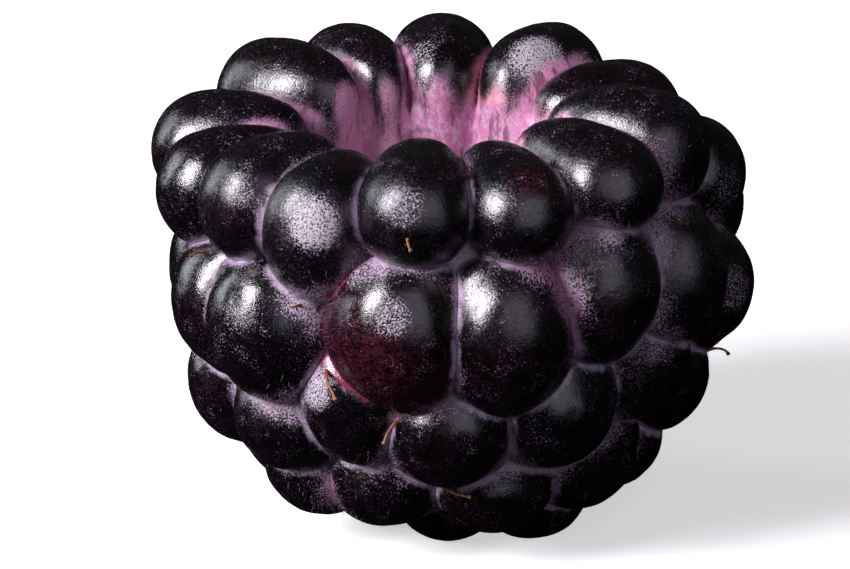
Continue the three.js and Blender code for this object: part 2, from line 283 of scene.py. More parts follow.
# A withered style is rooted on a drupelet: (ring, index, clock, lean, heading, length, lift,
# curl). `heading` is the way it lies, `lift` how steeply it leaves the skin.
STYLES = (
    ("upper", 13, 20, 65, 200, 0.55, 25, 0.1), ("upper", 0, 60, 80, 240, 0.5, 25, 0),
    ("middle", 2, -10, 65, 155, 1.5, 15, 0.1), ("middle", 3, -60, 75, 130, 0.8, 20, -0.1),
    ("rim", 0, -30, 5, 165, 0.35, 35, 0.05), ("upper", 4, -30, 80, 150, 0.6, 20, 0),
    ("middle", 6, 10, 50, 150, 0.7, 45, -0.2), ("middle", 4, 45, 90, 120, 0.6, 30, 0),
    ("middle", 3, -170, 65, 90, 0.9, 12, -0.1), ("lower", 2, 50, 80, 215, 0.45, 30, 0.05),
    ("rim", 8, -35, 50, 245, 0.25, 20, 0), ("upper", 7, 160, 58, 120, 1.2, 25, 0.3),
    ("middle", 8, 20, 60, -70, 1.1, 25, 0.2), ("upper", 9, -60, 60, 190, 1.4, 30, -0.3),
    ("rim", 9, 190, 46, -80, 0.9, 25, 0.15), ("middle", 11, 70, 60, 10, 1.2, 35, 0.25),
)

# ---- The stage, in metres and degrees ----------------------------------------------------------

CAMERA_AIM = (-0.686, 0, 6.93)  # millimetres, in the plan's place
FLOOR_SIZE = 1.5  # half the floor's side
FLOOR_GLOW = 0.55  # added to the floor for the camera alone
FLOOR_SEEN_BY_BERRY = (0.006, 0.006, 0.006)  # the floor's colour to every ray but the camera's

LIGHT_DISTANCE = 0.20
# Each light: azimuth, elevation, width and height, colour.
LIGHTS = {
    "key": (-58, 32, (0.075, 0.11), (0.97, 0.92, 1.0)),
    "fill": (25, 25, (0.18, 0.20), (0.88, 0.82, 1.0)),
    "left": (-112, 18, (0.04, 0.12), (0.88, 0.94, 1.0)),
}

# ---- Colours that aren't settings --------------------------------------------------------------

FLECK = (0.075, 0.034, 0.070)
STRAY_DUST = (0.36, 0.28, 0.36)
# Painted light: a paler pink for the hollow's sides, which the rim shades.
WALL_SIDE_PAINTED_LIGHT = (0.94, 0.52, 0.75)
# Painted shade for the far left of the hollow's wall.
WALL_LEFT_PAINTED_SHADE = (0.20, 0.055, 0.15)
WALL_STREAK = (0.13, 0.022, 0.065)
WALL_DARK = (0.060, 0.010, 0.030)
WALL_SPECKLE = (0.12, 0.022, 0.060)
# Painted shade for the deepest part of the hollow.
WALL_DEPTH_PAINTED_SHADE = (0.10, 0.018, 0.050)
DOWN_LILAC = (0.30, 0.25, 0.37)
DOWN_PINK = (0.40, 0.22, 0.33)
# Painted shade for the hollows of a style's wrinkles.
STYLE_WRINKLE_PAINTED_SHADE = (0.06, 0.014, 0.008)


# ---- Settings a user would change --------------------------------------------------------------


class BrambleShape(bpy.types.PropertyGroup):
    plump: FloatProperty(
        name="Plumpness", default=1.08, min=0.9, max=1.3,
        description="How far a drupelet's free side swells beyond its stated size")
    press_overlap: FloatProperty(
        name="Press overlap", default=1.12, min=1.0, max=1.3,
        description="How far a pressed side runs past the plane it shares with its neighbour")
    press_power: FloatProperty(
        name="Press sharpness", default=12.0, min=4.0, max=30.0,
        description="How sharply a free side turns into a pressed one")
    ball_cuts: IntProperty(
        name="Drupelet resolution", default=17, min=6, max=24,
        description="Squares along each side of the cube that a drupelet is blown up from")
    wobble: FloatProperty(
        name="Wobble", default=0.016, min=0.0, max=0.1, subtype="FACTOR",
        description="How uneven a drupelet's skin is, as a share of its reach")
    fullness: FloatProperty(
        name="Fullness", default=0.2, min=0.0, max=0.5, subtype="FACTOR",
        description="How far a drupelet's sides and root swell to fill the corners between three")
    scar_depth: FloatProperty(
        name="Scar depth", default=0.03, min=0.0, max=0.3,
        description="Depth of the dimple where a style stood, in millimetres")
    ridge_depth: FloatProperty(
        name="Hollow ridges", default=0.28, min=0.0, max=0.4,
        description="How far the inner ends of the drupelets bulge into the hollow, in millimetres")
    droop: FloatProperty(
        name="Rim droop", default=2.5, min=0.0, max=4.0,
        description="How far a rim drupelet's inner end runs down the hollow's wall")
    softening: IntProperty(
        name="Hollow softening", default=14, min=0, max=60,
        description="Rounds of smoothing that blend the drupelets' inner ends into the wall")


def colour_setting(name, default, description):
    return FloatVectorProperty(
        name=name, subtype="COLOR", size=3, default=default, description=description)


class BrambleColours(bpy.types.PropertyGroup):
    skin: colour_setting("Skin", (0.0008, 0.0004, 0.0010), "Ripe skin, near-black purple")
    skin_warm: colour_setting(
        "Warm skin", (0.0032, 0.0008, 0.0018), "Skin where it is a little less ripe")
    red: colour_setting("Red skin", (0.085, 0.008, 0.020), "Thin skin over red flesh")
    crimson: colour_setting(
        "Crimson crease", (0.30, 0.028, 0.085), "The line where red drupelets meet")
    bloom: colour_setting("Bloom", (0.56, 0.44, 0.59), "Waxy lilac bloom")
    # The pale patches: thin wax with painted highlights and painted light.
    wax: colour_setting("Wax", (0.62, 0.56, 0.63), "Thin dry wax on a drupelet's face")
    felt: colour_setting("Felt", (0.48, 0.15, 0.31), "Pink felt of the hollow's wall")
    coral: colour_setting("Coral", (0.80, 0.33, 0.34), "Coral patches of the hollow's wall")
    style_root: colour_setting("Style root", (0.26, 0.042, 0.013), "Withered style near its root")
    style_tip: colour_setting("Style tip", (0.28, 0.115, 0.042), "Withered style near its tip")
    floor: colour_setting("Floor", (0.90, 0.90, 0.90), "Plain pale floor")


class BrambleDown(bpy.types.PropertyGroup):
    crease_density: FloatProperty(
        name="Density", default=90.0, min=0.0, max=400.0,
        description="Hairs on each square millimetre where down grows thickest")
    length: FloatProperty(
        name="Length", default=0.15, min=0.02, max=1.0,
        description="Length of a hair, in millimetres")
    thickness: FloatProperty(
        name="Thickness", default=0.008, min=0.002, max=0.1,
        description="Thickness of a hair at its root, in millimetres")
    seed: IntProperty(name="Seed", default=7, description="Seed of the hairs' places and leans")


class BrambleStyles(bpy.types.PropertyGroup):
    root_radius: FloatProperty(
        name="Root radius", default=0.07, min=0.01, max=0.3,
        description="Radius of a style at its root, in millimetres")
    tip_radius: FloatProperty(
        name="Tip radius", default=0.035, min=0.005, max=0.2,
        description="Radius of a style near its tip, in millimetres")
    kink: FloatProperty(
        name="Kink", default=0.08, min=0.0, max=1.0,
        description="How far a withered style wanders from its line, in millimetres")


class BrambleStage(bpy.types.PropertyGroup):
    camera_elevation: FloatProperty(
        name="Camera elevation", default=math.radians(18), subtype="ANGLE",
        description="How far the camera looks down")
    camera_distance: FloatProperty(
        name="Camera distance", default=0.14, subtype="DISTANCE",
        description="From the camera to the point that it looks at")
    camera_lens: FloatProperty(
        name="Lens", default=207.5, unit="CAMERA", description="Focal length, in millimetres")
    key_power: FloatProperty(
        name="Key light", default=0.78, unit="POWER", description="Power of the key light")
    fill_power: FloatProperty(
        name="Fill light", default=0.10, unit="POWER", description="Power of the fill light")
    left_power: FloatProperty(
        name="Left light", default=0.10, unit="POWER", description="Power of the left light")
    sky: FloatProperty(name="Sky", default=0.022, description="Strength of the even surroundings")


# ---- Drupelets ---------------------------------------------------------------------------------


def axis_x(height):
    return np.interp(height, (0.0, MOUTH_HEIGHT), (AXIS_X_AT_BASE, AXIS_X_AT_MOUTH))


def ease(value, start, end):
    """0 before start, 1 after end, and a smooth rise between; start may be the larger."""
    share = np.clip((value - start) / (end - start), 0, 1)
    return share * share * (3 - 2 * share)


class Drupelet:
    """One drupelet's place: its middle, its own three directions and its half sizes, in mm."""

    def __init__(self, ring_name, index):
        ring = RINGS[ring_name]
        azimuth, height, width, tall, push = ring["drupelets"][index]
        turn, tilt = math.radians(azimuth), math.radians(ring["tilt"])
        away = np.array((math.sin(turn), -math.cos(turn), 0.0))
        up = np.array((0.0, 0.0, 1.0))
        self.across = np.array((math.cos(turn), math.sin(turn), 0.0))
        self.outward = away * math.cos(tilt) + up * math.sin(tilt)
        self.upward = np.cross(self.outward, self.across)
        self.middle = away * (ring["radius"] + push)
        self.middle[0] += axis_x(height)
        self.middle[2] = height
        self.half_width, self.half_height = width / 2, tall / 2
        self.out, self.inward = ring["out"], ring["inward"]
        self.on_rim = ring_name == "rim"
        self.ring, self.index = ring_name, index

    def free_reach(self, ways, droop=0.0):
        """From the middle to the skin if nothing pressed on it: an ovoid, longer inwards.

        With droop, its inner end runs down instead of closing like a ball.
        """
        outward, upward = ways @ self.outward, ways @ self.upward
        along = np.where(outward > 0, self.out, self.inward)
        sag = droop * ease(-outward, DROOP_START, DROOP_END) * (upward < 0)
        return 1 / np.sqrt((outward / along) ** 2 + (ways @ self.across / self.half_width) ** 2
                           + (upward / (self.half_height * (1 + sag))) ** 2)

    def find_pressed_sides(self, everyone, overlap):
        self.sides = []
        for other in everyone:
            gap = np.linalg.norm(other.middle - self.middle)
            if other is self or gap > NEIGHBOUR_REACH:
                continue
            way = (other.middle - self.middle) / gap
            mine = self.free_reach(way[None])[0]
            theirs = other.free_reach(-way[None])[0]
            self.sides.append((way, gap * mine / (mine + theirs) * overlap))

    def reach(self, ways, shape):
        """From the middle to the skin, free or pressed, with a soft turn between the two."""
        fullness, droop = (0.0, shape.droop) if self.on_rim else (shape.fullness, 0.0)
        sideways = ease(ways @ self.outward, FULLNESS_START, FULLNESS_END)
        swell = shape.plump * (1 + fullness * sideways)
        total = (swell * self.free_reach(ways, droop)) ** -shape.press_power
        for way, distance in self.sides:
            facing = np.clip(ways @ way, 0, None)
            total += (facing / distance) ** shape.press_power
        return total ** (-1 / shape.press_power)

    def way(self, clock, lean):
        """The direction `lean` degrees off the outward side, at `clock` round it."""
        clock, lean = math.radians(clock), math.radians(lean)
        round_it = self.upward * math.cos(clock) + self.across * math.sin(clock)
        return self.outward * math.cos(lean) + round_it * math.sin(lean)


def place_drupelets(shape):
    everyone = [Drupelet(name, i) for name, ring in RINGS.items()
                for i in range(len(ring["drupelets"]))]
    for one in everyone:
        one.find_pressed_sides(everyone, shape.press_overlap)
    return everyone


def by_name(everyone):
    return {(one.ring, one.index): one for one in everyone}


def blown_cube(cuts):
    """Unit directions and faces of a cube blown up to a ball, with squares of about one size."""
    bm = bmesh.new()
    bmesh.ops.create_cube(bm, size=2)
    bmesh.ops.subdivide_edges(bm, edges=bm.edges[:], cuts=cuts - 1, use_grid_fill=True)
    corners = np.tan(np.array([v.co for v in bm.verts]) * math.pi / 4)
    faces = [[v.index for v in face.verts] for face in bm.faces]
    bm.free()
    return corners / np.linalg.norm(corners, axis=1)[:, None], faces


def uneven(points, seed, scale):
    """Smooth noise from -1 to 1 at each point."""
    offset = Vector((seed * 7.31, seed * 3.77, seed * 5.13))
    return np.array([noise.noise(Vector(p) * scale + offset) for p in points])


def drupelet_points(one, seed, ways, shape):
    """A drupelet's skin points, with its own waves and the scar where its style stood."""
    reach = one.reach(ways, shape)
    waves = shape.wobble * uneven(ways, seed, WOBBLE_SCALE)
    fine_waves = FINE_WOBBLE_SHARE * shape.wobble * uneven(ways, seed + 50, FINE_WOBBLE_SCALE)
    reach *= 1 + waves + fine_waves
    # The scar lies near the middle of the outward side, a little elsewhere on each.
    scar = one.way(-20 + 14 * (seed % 4), 24 + 6 * (seed % 3))
    reach -= shape.scar_depth * np.exp(-(1 - ways @ scar) / SCAR_SPREAD)
    return one.middle + ways * reach[:, None]


def add_object(name, data, collection=None):
    """A new object of this mesh, curve, light or camera, in the scene or in a collection."""
    obj = bpy.data.objects.new(name, data)
    (collection or bpy.context.scene.collection).objects.link(obj)
    return obj


def mesh_object(name, points_mm, faces, collection=None):
    mesh = bpy.data.meshes.new(name)
    mesh.from_pydata((np.asarray(points_mm) * MM).tolist(), [], faces)
    mesh.update()
    return add_object(name, mesh, collection)


def smooth_profile(points, steps):
    """The profile's points, rounded by a curve through them and spaced evenly."""
    points = np.array(points, float)
    knots = np.concatenate(((2 * points[0] - points[1],), points, (2 * points[-1] - points[-2],)))
    out = []
    for i in range(1, len(knots) - 2):
        a, b, c, d = knots[i - 1:i + 3]
        for t in np.linspace(0, 1, 20, endpoint=False):
            out.append(0.5 * (2 * b + (c - a) * t + (2 * a - 5 * b + 4 * c - d) * t * t
                              + (3 * b - a - 3 * c + d) * t ** 3))
    out.append(points[-1])
    out = np.array(out)
    run = np.concatenate(((0,), np.cumsum(np.linalg.norm(np.diff(out, axis=0), axis=1))))
    even = np.linspace(0, run[-1], steps)
    return np.stack((np.interp(even, run, out[:, 0]), np.interp(even, run, out[:, 1])), axis=1)


def flesh_points(shape):
    """The flesh turned round the axis, with a ridge in the hollow behind each rim drupelet."""
    profile = smooth_profile(FLESH_PROFILE, FLESH_PROFILE_STEPS)
    turns = np.arange(FLESH_TURN_STEPS) / FLESH_TURN_STEPS * 2 * math.pi
    rim = np.radians([entry[0] for entry in RINGS["rim"]["drupelets"]])
    apart = (turns[:, None] - rim[None] + math.pi) % (2 * math.pi) - math.pi
    nearest = np.min(np.abs(apart), axis=1)
    ridge = np.cos(np.clip(nearest / math.radians(RIDGE_HALF_ANGLE), 0, 1) * math.pi)
    points, faces = [(axis_x(profile[0][1]), 0, profile[0][1])], []
    for radius, height in profile[1:-1]:
        inside = radius < HOLLOW_RADIUS and height > HOLLOW_FLOOR
        swell = shape.ridge_depth * np.interp(height, RIDGE_HEIGHTS, RIDGE_SHARES) * inside
        for k, turn in enumerate(turns):
            r = radius - swell * ridge[k]
            if inside:
                wrinkle = Vector((math.cos(turn) * 3, math.sin(turn) * 3, height * 0.9))
                r -= (WRINKLE_DEPTHS[0] * noise.noise(wrinkle)
                      + WRINKLE_DEPTHS[1] * noise.noise(wrinkle * WRINKLE_RATIO))
            points.append((r * math.sin(turn) + axis_x(height), -r * math.cos(turn), height))
    points.append((axis_x(profile[-1][1]), 0, profile[-1][1]))
    n, last = FLESH_TURN_STEPS, len(points) - 1
    for k in range(n):
        following = (k + 1) % n
        faces.append((0, 1 + k, 1 + following))
        faces.append((last, last - n + following, last - n + k))
        for row in range(FLESH_PROFILE_STEPS - 3):
            low, high = 1 + row * n, 1 + (row + 1) * n
            faces.append((low + following, low + k, high + k, high + following))
    return points, faces


def joined_mesh(base, others, operation="UNION"):
    """A new mesh of the base joined with or cut by every object of a collection."""
    join = base.modifiers.new("join", "BOOLEAN")
    join.operation, join.operand_type, join.solver = operation, "COLLECTION", "MANIFOLD"
    join.collection = others
    evaluated = base.evaluated_get(bpy.context.evaluated_depsgraph_get())
    mesh = bpy.data.meshes.new_from_object(evaluated)
    base.modifiers.remove(join)
    return mesh


def drop_collection(collection):
    for obj in list(collection.objects):
        bpy.data.objects.remove(obj)
    bpy.data.collections.remove(collection)


def scratch_collection(name):
    collection = bpy.data.collections.new(name)
    bpy.context.scene.collection.children.link(collection)
    return collection


def grow_skin(everyone, shape):
    """One closed mesh: the flesh joined with every drupelet, cut flat where it stands."""
    ways, faces = blown_cube(shape.ball_cuts)
    shells, ground = scratch_collection("shells"), scratch_collection("ground")
    for seed, one in enumerate(everyone):
        basis = np.stack((one.across, one.upward, one.outward))
        mesh_object("shell", drupelet_points(one, seed, ways @ basis, shape), faces, shells)
    flesh = mesh_object("flesh", *flesh_points(shape))
    whole = add_object("whole", joined_mesh(flesh, shells))
    box, box_faces = blown_cube(1)
    box = np.sign(box) * GROUND_SIZE + (0, 0, STANDING_HEIGHT - GROUND_SIZE)
    mesh_object("ground", box, box_faces, ground)
    mesh = joined_mesh(whole, ground, "DIFFERENCE")
    for obj in (flesh, whole):
        bpy.data.objects.remove(obj)
    drop_collection(shells)
    drop_collection(ground)
    return mesh


def mesh_arrays(mesh):
    points = np.zeros(len(mesh.vertices) * 3)
    normals = np.zeros(len(mesh.vertices) * 3)
    mesh.vertices.foreach_get("co", points)
    mesh.vertices.foreach_get("normal", normals)
    return points.reshape(-1, 3), normals.reshape(-1, 3)


def edge_ends(mesh):
    """The two vertices of each edge."""
    ends = np.zeros(len(mesh.edges) * 2, dtype=np.int32)
    mesh.edges.foreach_get("vertices", ends)
    return ends.reshape(-1, 2)


def round_axis(points, normals):
    """Each vertex's distance from the berry's axis, in mm, and how much it faces that axis."""
    away = points.copy()
    away[:, 0] -= axis_x(points[:, 2])
    away[:, 2] = 0
    radius = np.linalg.norm(away, axis=1)
    return radius, -np.einsum("ij,ij->i", normals, away / np.maximum(radius, 1e-6)[:, None])


def soften_hollow(mesh, shape):
    """Blends the rim drupelets' inner ends into the hollow's wall, below the mouth."""
    points, normals = mesh_arrays(mesh)
    points = points / MM
    radius, facing_in = round_axis(points, normals)
    height = points[:, 2]
    share = ease(radius, *BLEND_RADII) * ease(height, *BLEND_TOP) * ease(height, *BLEND_BOTTOM)
    share *= BLEND_STRENGTH * ease(facing_in, *BLEND_FACING)
    ends = edge_ends(mesh)
    ends = np.concatenate((ends, ends[:, ::-1]))
    degree = np.bincount(ends[:, 0], minlength=len(points))
    for _ in range(shape.softening):
        around = [np.bincount(ends[:, 0], points[ends[:, 1], axis], len(points))
                  for axis in range(3)]
        points += share[:, None] * (np.stack(around, axis=1) / degree[:, None] - points)
    mesh.vertices.foreach_set("co", (points * MM).ravel())
    mesh.update()


def stand_in_frame(mesh):
    """Moves the mesh so that its box stands where the CAD berry's does; returns the move."""
    low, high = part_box(BERRY_NODE)
    corners = np.array([v.co for v in mesh.vertices])
    middle = (corners.min(0) + corners.max(0)) / 2
    move = Vector(((low.x + high.x) / 2 - middle[0], (low.y + high.y) / 2 - middle[1],
                   low.z - corners[:, 2].min()))
    mesh.transform(Matrix.Translation(move))
    return move


# ---- Masks on the skin -------------------------------------------------------------------------


def crease_distance(mesh, points):
    """Each vertex's distance to the nearest crease, a concave sharp edge, in mm."""
    bm = bmesh.new()
    bm.from_mesh(mesh)
    on_crease = {v.index for edge in bm.edges if len(edge.link_faces) == 2
                 and edge.calc_face_angle_signed(0) < -math.radians(CREASE_ANGLE)
                 for v in edge.verts}
    bm.free()
    tree = kdtree.KDTree(len(on_crease))
    for i in on_crease:
        tree.insert(points[i], i)
    tree.balance()
    return np.array([tree.find(p)[2] for p in points])


def owners(points, everyone, shape):
    """Which drupelet each vertex is on, or -1 on the flesh, and its way from that middle."""
    best = np.full(len(points), SKIN_TOLERANCE)
    owner = np.full(len(points), -1)
    ways = np.zeros_like(points)
    for k, one in enumerate(everyone):
        offset = points - one.middle
        length = np.linalg.norm(offset, axis=1)
        near = np.flatnonzero(length < SKIN_REACH)
        way = offset[near] / length[near][:, None]
        miss = np.abs(length[near] - one.reach(way, shape))
        closer = miss < best[near]
        hit = near[closer]
        best[hit], owner[hit], ways[hit] = miss[closer], k, way[closer]
    return owner, ways


def patch_mask(patches, everyone, owner, ways):
    """Each patch's amount in its middle, falling to 0 at its edge."""
    mask = np.zeros(len(owner))
    names = list(by_name(everyone))
    for ring, index, clock, lean, size, amount in patches:
        k = names.index((ring, index))
        on = np.flatnonzero(owner == k)
        angle = np.degrees(np.arccos(np.clip(ways[on] @ everyone[k].way(clock, lean), -1, 1)))
        mask[on] = np.maximum(mask[on], amount * ease(angle, size, size * 0.35))
    return mask


def matt_mask(everyone, owner):
    """How dull each vertex's drupelet is, from 0, glossy, to 1, waxy all over, as the flesh is."""
    dullness = [MATT_DRUPELETS.get(name, 0.0) for name in by_name(everyone)]
    return np.array(dullness + [1.0])[owner]


def spread_over(mesh, mask, rounds):
    """The mask grown outwards by this many rounds of neighbouring vertices."""
    first, second = edge_ends(mesh).T
    for _ in range(rounds):
        grown = mask.copy()
        np.maximum.at(grown, first, mask[second])
        np.maximum.at(grown, second, mask[first])
        mask = grown
    return mask


def bloom_masks(everyone, points, crease):
    """How much bloom gathers at each vertex, and how pink it is there."""
    named = by_name(everyone)
    bloom, pink = np.zeros(len(points)), np.zeros(len(points))
    for names, reach, amount, pinkness in BLOOM_SPOTS:
        meeting = [named[name] for name in names]
        middle = np.mean([one.middle for one in meeting], axis=0)
        middle = middle + np.mean([one.outward for one in meeting], axis=0)
        distance = np.linalg.norm(points - middle, axis=1)
        here = amount * ease(distance, reach * 1.3, reach * 0.4) * ease(crease, 1.3, 0.1)
        pink = np.where(here > bloom, pinkness, pink)
        bloom = np.maximum(bloom, here)
    return bloom, pink


def hollow_mask(points, facing_in, radius, crease):
    """1 on the hollow's wall and floor and in the grooves between the rim's drupelets."""
    x, y, z = points.T
    height = z + uneven(points, 3, 1.3) * 0.5
    climb = np.interp(y, GROOVE_RADIUS_Y, GROOVE_RADIUS)
    groove = ease(crease, np.interp(x, GROOVE_WIDTH_X, GROOVE_WIDTH), 0.1)
    groove *= ease(radius, climb, climb - WALL_FADE) * ease(height, *GROOVE_TOP)
    groove *= ease(z, *GROOVE_BOTTOM)
    top = np.interp(x, WALL_TOP_X, WALL_TOP)
    wall = ease(facing_in, *WALL_FACING) * ease(height, top, top - WALL_FADE)
    wall *= ease(radius, *WALL_RADII)
    floor = ease(radius, *FLOOR_RADII) * ease(z, *FLOOR_BOTTOM)
    return np.maximum(np.maximum(wall, groove), floor)


def down_mask(points, crease, bloom, felt, hollow):
    """How thick the down grows: in patches along the creases, in bloom and in the hollow."""
    patchy = ease(uneven(points, 9, 0.9) + 0.5 * uneven(points, 12, 2.3), -0.2, 0.4)
    fringe = ease(crease, 0.06 + 0.3 * patchy, 0.0) * (0.1 + 0.9 * patchy)
    down = np.maximum(np.maximum(fringe, bloom * 0.7), np.maximum(felt * 0.6, hollow * 0.55))
    return down * ease(points[:, 2], STANDING_HEIGHT + 0.3, STANDING_HEIGHT + 0.6)


def write_masks(mesh, everyone, shape):
    """Finds the skin's masks while the mesh is still in the plan's place, in metres."""
    points, normals = mesh_arrays(mesh)
    points = points / MM
    crease = crease_distance(mesh, points)
    owner, ways = owners(points, everyone, shape)
    radius, facing_in = round_axis(points, normals)
    hollow = hollow_mask(points, facing_in, radius, crease)
    felt = np.where(owner < 0, 1.0, 0.0) * (1 - hollow)
    bloom, pink = bloom_masks(everyone, points, crease)
    redness = patch_mask(RED_PATCHES, everyone, owner, ways)
    at_crease = np.where(crease < 0.2, spread_over(mesh, redness, 3), 0.0)
    masks = {
        "crease": np.clip(crease, 0, 1), "hollow": hollow, "felt": felt, "bloom": bloom,
        "pink": pink, "redness": np.maximum(redness, at_crease),
        # The pale patches of thin wax, with painted highlights and painted light.
        "wax": patch_mask(WAX_AND_HIGHLIGHT_PATCHES, everyone, owner, ways),
        "tone": np.random.default_rng(TONE_SEED).random(len(everyone) + 1)[owner],
        "matt": matt_mask(everyone, owner),
        "down": down_mask(points, crease, bloom, felt, hollow),
    }
    for name, values in masks.items():
        layer = mesh.attributes.new(name, "FLOAT", "POINT")
        layer.data.foreach_set("value", np.ascontiguousarray(values, dtype=np.float32))


# ---- Materials ---------------------------------------------------------------------------------


class Nodes:
    """Adds nodes to a tree and joins them; every call returns an output socket."""

    def add(self, kind, inputs=(), output=0, **settings):
        node = self.tree.nodes.new(kind)
        for key, value in settings.items():
            setattr(node, key, value)
        for key, value in dict(inputs).items():
            self.feed(node.inputs[key], value)
        return node.outputs[output]

    def feed(self, socket, value):
        if isinstance(value, bpy.types.NodeSocket):
            self.tree.links.new(value, socket)
        elif socket.type == "RGBA" and len(value) == 3:
            socket.default_value = (*value, 1.0)
        else:
            socket.default_value = value

    def math(self, operation, a, b=0.0, clamp=False):
        return self.add("ShaderNodeMath", {0: a, 1: b}, operation=operation, use_clamp=clamp)

    def times(self, a, b):
        return self.math("MULTIPLY", a, b)


class Finish(Nodes):
    """Builds one material's nodes."""

    def __init__(self, name):
        self.material = bpy.data.materials.new(name)
        self.material.use_nodes = True
        self.tree = self.material.node_tree
        self.surface = self.tree.nodes["Principled BSDF"]

    def plus(self, a, b, clamp=False):
        return self.math("ADD", a, b, clamp)

    def most(self, a, b):
        return self.math("MAXIMUM", a, b)

    def ramp(self, value, start, end, low=0.0, high=1.0):
        """Rises smoothly from low at start to high at end; start may be the larger."""
        if start > end:
            start, end, low, high = end, start, high, low
        return self.add(
            "ShaderNodeMapRange",
            {"Value": value, "From Min": start, "From Max": end, "To Min": low, "To Max": high},
            interpolation_type="SMOOTHSTEP")

    def mix(self, share, a, b):
        node = self.tree.nodes.new("ShaderNodeMix")
        node.data_type = "RGBA"
        for socket, value in ((node.inputs[0], share), (node.inputs[6], a), (node.inputs[7], b)):
            self.feed(socket, value)
        return node.outputs[2]

    def mask(self, name):
        return self.add("ShaderNodeAttribute", attribute_name=name, output=2)

    def place(self, stretch=(1.0, 1.0, 1.0)):
        """Object coordinates in millimetres, stretched along the axes."""
        where = self.add("ShaderNodeTexCoord", output=3)
        scale = tuple(s / MM for s in stretch)
        return self.add("ShaderNodeMapping", {"Vector": where, "Scale": scale})

    def noise(self, where, scale, detail=2.0, roughness=0.5, distortion=0.0):
        return self.add(
            "ShaderNodeTexNoise",
            {"Vector": where, "Scale": scale, "Detail": detail, "Roughness": roughness,
             "Distortion": distortion})

    def flecks(self, where, scale, size):
        """1 in small round flecks, 0 between them."""
        apart = self.add("ShaderNodeTexVoronoi", {"Vector": where, "Scale": scale})
        return self.ramp(apart, size, size * 0.5)

    def bump(self, height, distance_mm, strength=1.0, under=None):
        inputs = {"Height": height, "Distance": distance_mm * MM, "Strength": strength}
        if under is not None:
            inputs["Normal"] = under
        return self.add("ShaderNodeBump", inputs)

    def finish(self, **inputs):
        for key, value in inputs.items():
            self.feed(self.surface.inputs[key.replace("_", " ")], value)
        return self.material


def ripe_skin(n, colours, speckle, mottle, broad):
    """Near-black skin: warmer on some drupelets, finely flecked, red where the flesh shows."""
    redness = n.mask("redness")
    warmth = n.ramp(n.plus(broad, n.times(n.mask("tone"), 0.35)), 0.55, 0.9)
    skin = n.mix(warmth, colours.skin, colours.skin_warm)
    speckled_part = n.ramp(n.noise(n.place(), 1.3, 2.0), 0.35, 0.62)
    skin = n.mix(n.times(n.ramp(speckle, 0.56, 0.70), speckled_part), skin, FLECK)
    near_crease = n.ramp(n.mask("crease"), 0.9, 0.05, 0.45, 1.0)
    red_share = n.times(n.times(redness, near_crease), n.ramp(mottle, 0.44, 0.58, 0.05, 1.0))
    return n.mix(red_share, skin, colours.red)


def hollow_wall(n, colours, speckle):
    """Pink felt streaked down its ridges, with lilac fuzz, coral and dark patches, and painted
    light and shade.
    """
    side, height = (n.add("ShaderNodeSeparateXYZ", {"Vector": n.place()}, axis) for axis in (0, 2))
    streaks = n.noise(n.place((1.0, 1.0, 0.28)), 2.6, 4.0, 0.62)
    fuzz = n.noise(n.place((1.0, 1.0, 0.5)), 7.0, 2.0, 0.7)
    cloud = n.noise(n.place(), 0.75, 2.0, 0.5, 0.3)
    wall = n.mix(n.ramp(fuzz, 0.44, 0.62), colours.felt, n.mix(0.55, colours.felt, colours.bloom))
    coral_share = n.times(n.ramp(cloud, 0.46, 0.60), n.ramp(side, -0.8, 1.8, 0.1, 0.8))
    coral_share = n.times(coral_share, n.ramp(side, 3.2, 2.4))
    wall = n.mix(coral_share, wall, colours.coral)
    # Painted light: both sides of the wall, shaded by the rim, are made paler pink.
    side_painted_light = n.most(n.ramp(side, -0.6, -1.8), n.ramp(side, 0.8, 2.2))
    wall = n.mix(n.times(side_painted_light, 0.6), wall, WALL_SIDE_PAINTED_LIGHT)
    # Painted shade: plum at the far left of the wall.
    wall = n.mix(n.ramp(side, -2.2, -3.8, 0.0, 0.6), wall, WALL_LEFT_PAINTED_SHADE)
    wall = n.mix(n.times(n.ramp(streaks, 0.48, 0.36), 0.8), wall, WALL_STREAK)
    wall = n.mix(n.times(n.ramp(cloud, 0.34, 0.28), 0.6), wall, WALL_DARK)
    wall = n.mix(n.times(n.ramp(speckle, 0.46, 0.34), 0.5), wall, WALL_SPECKLE)
    # Painted shade: darker deeper down the hollow.
    return n.mix(n.ramp(height, 8.5, 5.5, 0.0, 0.7), wall, WALL_DEPTH_PAINTED_SHADE)


